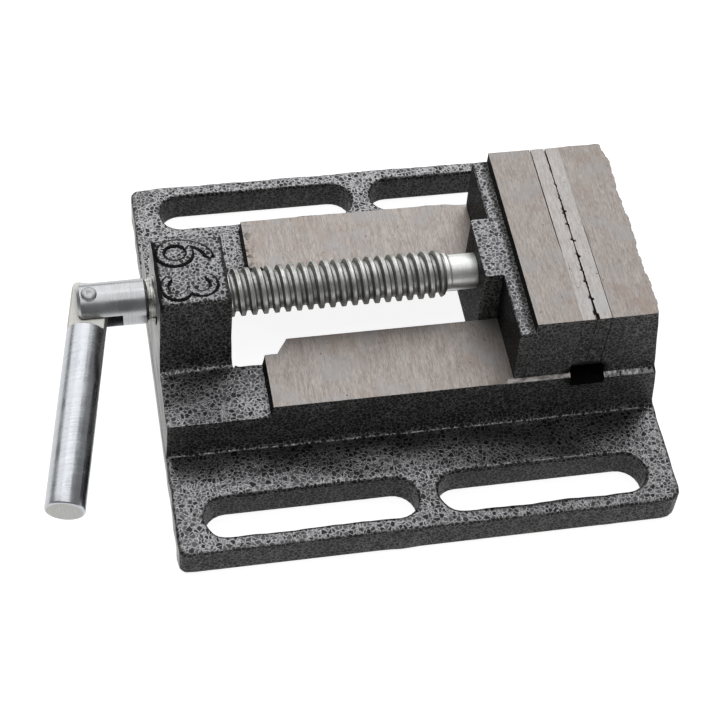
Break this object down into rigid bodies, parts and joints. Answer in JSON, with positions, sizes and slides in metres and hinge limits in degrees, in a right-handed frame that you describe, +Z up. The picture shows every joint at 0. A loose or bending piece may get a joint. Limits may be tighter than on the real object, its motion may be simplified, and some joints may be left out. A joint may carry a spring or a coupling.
{
  "type": "drill press vise",
  "caption": "Low drill press vise: slotted flanged base, ground ways, screw-driven sliding jaw with steel jaw plates and a folding rod handle.",
  "frame": {"origin": "on the table, under the middle of the base's length and width, below the lead screw's axis", "axes": "+X along the lead screw from the handle to the fixed jaw, +Y across the ways away from the viewer, +Z up"},
  "size_m": [0.1762, 0.1324, 0.0517],
  "materials": {
    "hammertone_iron": "cast iron under dark grey hammertone paint, ways and jaw tops ground bare",
    "ground_steel": "surface ground",
    "zinc_steel": "dull zinc plate",
    "bright_zinc": "bright zinc plate",
    "black_steel": "black oxide"
  },
  "bodies": {
    "base": {"base_casting": "hammertone_iron", "fixed_jaw_plate": "ground_steel", "fixed_plate_screw_1": "zinc_steel", "fixed_plate_screw_2": "zinc_steel"},
    "sliding_jaw": {"moving_jaw": "hammertone_iron", "moving_jaw_plate": "ground_steel", "moving_plate_screw_1": "zinc_steel", "moving_plate_screw_2": "zinc_steel", "keeper_plate": "black_steel", "keeper_screw_1": "zinc_steel", "keeper_screw_2": "zinc_steel", "keeper_washer_1": "zinc_steel", "keeper_washer_2": "zinc_steel", "retaining_pin": "black_steel"},
    "spindle": {"lead_screw": "zinc_steel", "handle_pin": "zinc_steel"},
    "handle": {"handle_rod": "bright_zinc"}
  },
  "joints": [
    {"name": "jaw_slide", "type": "slide", "parent": "base", "child": "sliding_jaw", "axis": [1, 0, 0], "range_m": [-0.0635, 0]},
    {"name": "screw_spin", "type": "hinge", "parent": "sliding_jaw", "child": "spindle", "pos_m": [0, 0, 0.0379], "axis": [1, 0, 0], "range_deg": [-7200, 0]},
    {"name": "handle_fold", "type": "hinge", "parent": "spindle", "child": "handle", "pos_m": [-0.0879, 0, 0.0379], "axis": [0, -0.1219, 0.9925], "range_deg": [-179, 21]}
  ],
  "couplings": [
    {"joint": "jaw_slide", "follows": "screw_spin", "m_per_rad": 0.0005053}
  ]
}
